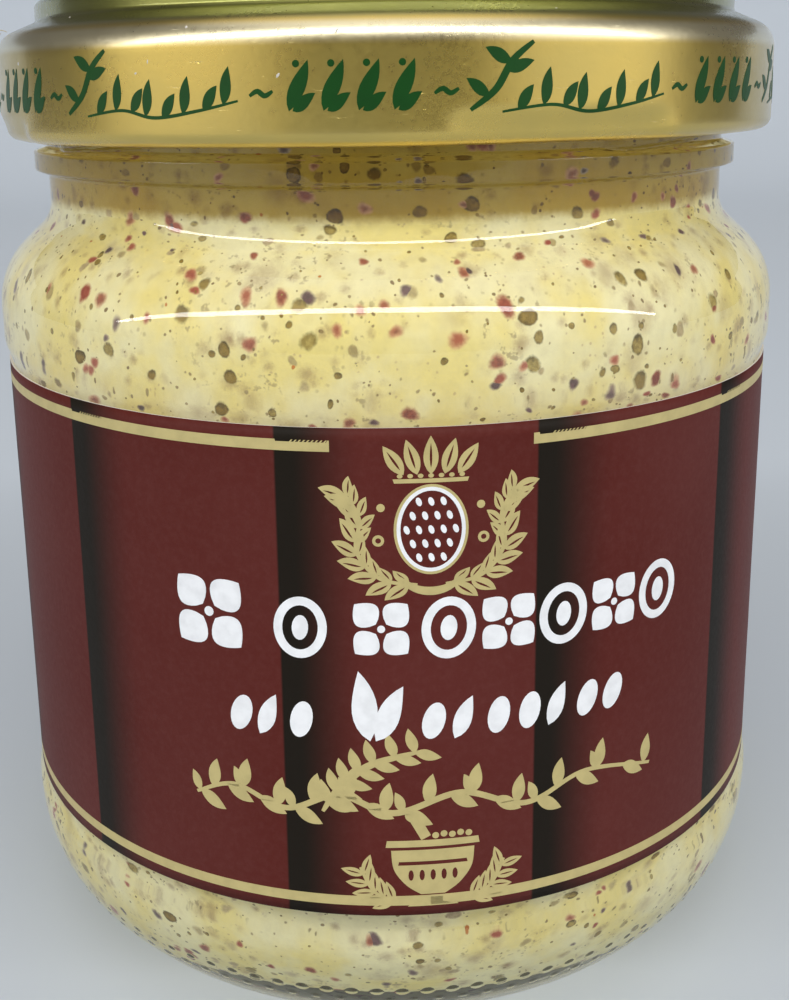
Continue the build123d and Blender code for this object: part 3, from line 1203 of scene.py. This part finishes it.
def mortar(art, x):
    """Gold mortar and pestle between two leafy sprigs."""

    def bar(low, low_half, high, high_half):
        return [(x - low_half, low), (x + low_half, low), (x + high_half, high), (x - high_half, high)]

    side = curve([(-3.1, 19.8), (-2.9, 18.2), (-2.0, 16.9), (-0.9, 16.1)], 16)
    slots = [oval(x + step * 0.82, 17.7, 0.2, 0.45, 0, 12)[::-1] for step in (-2, -1, 0, 1, 2)]
    bowl = [(x + a, b) for a, b in side] + [(x - a, b) for a, b in side[::-1]]
    art.add(bowl, bar(18.55, 2.6, 18.85, 2.52)[::-1], *slots)
    art.add(bar(20.05, 3.5, 20.6, 3.4))
    art.add(bar(15.1, 1.9, 15.85, 1.0))
    art.add(stroke([(x - 0.5, 20.8), (x - 1.35, 22.4)], 0.8))
    art.add(oval(x - 1.5, 22.55, 0.6, 0.45, -0.6))
    for step in range(5):
        art.add(oval(x + 0.2 + step * 0.62, 20.95 + 0.1 * (step % 2), 0.26, 0.26, 0, 12))
    for side in (-1, 1):
        stem = curve([(x + side * 2.4, 15.4), (x + side * 4.3, 16.3), (x + side * 5.4, 18.4)], 18)
        art.add(stroke(stem, 0.28, 0.4))
        for step in range(3, 18, 3):
            for turn in (-30, 62):
                lean = math.radians(turn + 3 * step)
                veined(art, *stem[step], 1.75, 0.72, lean if side > 0 else math.pi - lean)


class MakeLabel(bpy.types.Operator):
    """Wrap the paper label round the jar and print it"""

    bl_idname = "mustard_jar.label"
    bl_label = "Paper Label"

    def execute(self, context):
        opts = context.scene.jar_label
        low, high = box_in_mm("label")
        inner = box_in_mm("jar")[1].x - context.scene.jar_glass.bulge / MM
        outer = inner + opts.thickness / MM
        half = math.pi - LABEL_GAP / inner / 2
        columns, levels = 561, 39
        turns = np.linspace(FRONT + opts.turn - half, FRONT + opts.turn + half, columns)
        points = []
        for radius, lift in ((outer, 0.012), (inner, 0.0)):
            for height in np.linspace(low.z, high.z, levels):
                out = radius + uneven([(9 * turn, height, 0) for turn in turns], 7.0, lift)
                heights = np.full(columns, height)
                points.append(np.stack([out * np.cos(turns), out * np.sin(turns), heights], 1))
        layer = columns * levels
        face = [(a, a + 1, a + 1 + columns, a + columns) for a in range(layer - columns)]
        front = [corners for corners in face if corners[1] % columns]
        back = [tuple(corner + layer for corner in corners[::-1]) for corners in front]
        level = [(a, a + 1) for a in range(columns - 1)]
        edges = level + [(a + layer - columns, b + layer - columns) for a, b in level]
        for a in range(0, layer - columns, columns):
            edges += [(a, a + columns), (a + columns - 1, a + 2 * columns - 1)]
        cut = [(a, b, b + layer, a + layer) for a, b in edges]
        piece = solid("paper_label", np.concatenate(points) * MM, front + back + cut)
        place(piece, "label_paper", label_finish(opts, outer), "label")
        bare = mottled("label_cut_edge", 3000.0, (0.75, 0.73, 0.7), (0.6, 0.57, 0.53), 0.8)
        piece.data.materials.append(bare.material)
        for face in piece.data.polygons[-len(cut) :]:
            face.material_index = 1
            face.use_smooth = False

        gold, white = Print(outer, 0.014), Print(outer, 0.02)
        middle = opts.turn * outer
        gold_lines(gold, opts, outer, middle)
        medallion(gold, white, middle)
        flower_row(white)
        seed_row(white)
        vine_row(gold)
        mortar(gold, middle)
        place(gold.build("label_gold"), "label_paper", ink_finish("gold_ink", opts.gold, 0.4, 0.15))
        place(white.build("label_white"), "label_paper", ink_finish("white_ink", opts.white, 0.45))
        return {"FINISHED"}


def label_finish(opts, radius):
    """Satin maroon paper with dark stripes, sharp on one side and soft on the other."""
    finish = Finish("maroon_label_paper", Specular_IOR_Level=0.13)
    across, along, _ = finish.add("SeparateXYZ", None, Vector=finish.where()).outputs
    turn = finish.calc("ARCTAN2", across, finish.times(along, -1.0))
    pitch = opts.stripe_pitch / MM / radius
    part = finish.calc("FRACT", finish.calc("DIVIDE", finish.less(turn, FIRST_STRIPE), pitch))
    soft = finish.calc("POWER", finish.ramp(part, 0.06, 0.35), 0.85)
    shade = finish.less(soft, finish.ramp(part, 0.988, 1.0))
    cloud = finish.patches(0.3, 0.7, 45.0)
    ground = finish.blend(finish.times(cloud, 0.35), opts.maroon, (0.145, 0.038, 0.033))
    fibre = finish.patches(0.35, 0.8, 1800.0, 3.0, 0.7)
    ground = finish.over(ground, (0.2, 0.08, 0.07), fibre, 0.12)
    fine = finish.noise(2400.0, 3.0, 0.65)
    rough = finish.calc("MULTIPLY_ADD", fine, 0.14, 0.44)
    finish.set(Base_Color=finish.blend(shade, opts.dark, ground), Roughness=rough)
    finish.relief(fine, 0.012)
    return finish


# Stage

SOFT_ZONES = (  # bearing, rise, reach and strength of the studio's soft bright zones
    (-31, 12, 38, 1.1),
    (-147, 12, 36, 1.0),
    (0, 90, 40, 1.1),
)
DIM = 0.12  # strength of the studio outside those zones
CAMERA_SHIFT = -0.1393  # of the view down from the camera's axis, as a share of its longer side
CAMERA_ACROSS = Vector((0.99989634, -0.00851843, -0.01160795))
CAMERA_UP = Vector((0.0131979, 0.21999381, 0.97541198))


class SetStage(bpy.types.Operator):
    """Set out the floor, the lamp and the camera"""

    bl_idname = "mustard_jar.stage"
    bl_label = "Stage"

    def execute(self, context):
        opts = context.scene.jar_stage
        self.floor(opts)
        self.glow(context.scene, opts)
        self.lamp(opts)
        self.camera(context.scene, opts)
        context.scene.view_settings.view_transform = "Standard"
        return {"FINISHED"}

    def floor(self, opts):
        """A floor that bends up behind the jar."""
        run = [(-0.9, 0.0)] + [(0.1 * step, 0.0) for step in range(8)]
        for angle in range(10, 91, 10):
            out, drop = turned(0.3, 0.0, math.radians(90 - angle))
            run.append((0.7 + out, 0.3 - drop))
        run.append((1.0, 0.42))
        points = [(x, y, z) for y, z in run for x in (-1.6, 1.6)]
        faces = [(a, a + 1, a + 3, a + 2) for a in range(0, len(points) - 2, 2)]
        piece = solid("studio_floor", points, faces)
        shade = tuple(opts.floor)
        finish = mottled("studio_paper", 3.0, shade, [part * 0.97 for part in shade], 0.9)
        piece.data.materials.append(finish.material)

    def glow(self, scene, opts):
        """Dim light from all round, with soft bright zones beside and above the jar."""
        scene.world = bpy.data.worlds.new("studio")
        scene.world.use_nodes = True
        sky = Nodes(scene.world.node_tree)
        toward = sky.add("TexCoord").outputs["Generated"]
        level = DIM
        for turn, rise, reach, strength in SOFT_ZONES:
            out, up = turned(1.0, 0.0, math.radians(rise))
            axis = (*turned(out, 0.0, math.radians(turn)), up)
            near = sky.add("VectorMath", {"operation": "DOT_PRODUCT"}, i0=toward, i1=axis)
            zone = sky.ramp(near.outputs["Value"], math.cos(math.radians(reach)), 1.0)
            level = sky.calc("MULTIPLY_ADD", zone, strength * opts.glow, level)
        background = sky.tree.nodes["Background"]
        sky.plug(background.inputs["Color"], (1.0, 0.96, 0.9))
        sky.plug(background.inputs["Strength"], level)

    def lamp(self, opts):
        """One long strip lamp, high in front."""
        light = bpy.data.lights.new("front_strip", "AREA")
        light.shape = "RECTANGLE"
        light.size, light.size_y, light.energy = 10.0, 0.14, opts.strip_power
        lamp = bpy.data.objects.new("front_strip", light)
        bpy.context.scene.collection.objects.link(lamp)
        lamp.location = (0, -0.9, 0.98)
        lamp.rotation_euler = (Vector((0, 0, 0.05)) - lamp.location).to_track_quat("-Z", "Y").to_euler()

    def camera(self, scene, opts):
        """A camera in front of the jar, a little above its shoulder."""
        eye = bpy.data.cameras.new("front_camera")
        eye.lens, eye.sensor_width, eye.sensor_fit = opts.lens, 36.0, "AUTO"
        eye.shift_y = CAMERA_SHIFT
        eye.clip_start, eye.clip_end = 0.005, 10.0
        camera = bpy.data.objects.new("front_camera", eye)
        scene.collection.objects.link(camera)
        back = CAMERA_ACROSS.cross(CAMERA_UP)
        turn = Matrix((CAMERA_ACROSS, CAMERA_UP, back)).transposed().to_4x4()
        camera.matrix_world = Matrix.Translation((0, -opts.distance, opts.height)) @ turn
        scene.camera = camera


# Panel and running order

OPERATORS = (MakeGlass, MakeMustard, MakeLid, MakeLabel, SetStage)
CLASSES = (*SETTINGS.values(), *OPERATORS)


class JarPanel(bpy.types.Panel):
    """Lists the jar's pieces"""

    bl_idname = "VIEW3D_PT_mustard_jar"
    bl_label = "Mustard Jar"
    bl_space_type = "VIEW_3D"
    bl_region_type = "UI"
    bl_category = "Mustard Jar"

    def draw(self, context):
        for operator, settings in zip(OPERATORS, SETTINGS):
            box = self.layout.box()
            box.operator(operator.bl_idname)
            group = getattr(context.scene, settings)
            for name in group.__annotations__:
                box.prop(group, name)


def register():
    for entry in (*CLASSES, JarPanel):
        bpy.utils.register_class(entry)
    for name, group in SETTINGS.items():
        setattr(bpy.types.Scene, name, PointerProperty(type=group))


def unregister():
    for name in SETTINGS:
        delattr(bpy.types.Scene, name)
    for entry in (JarPanel, *reversed(CLASSES)):
        bpy.utils.unregister_class(entry)


def main():
    register()
    bpy.ops.mustard_jar.glass()
    bpy.ops.mustard_jar.mustard()
    bpy.ops.mustard_jar.lid()
    bpy.ops.mustard_jar.label()
    bpy.ops.mustard_jar.stage()


if __name__ == "__main__":
    main()
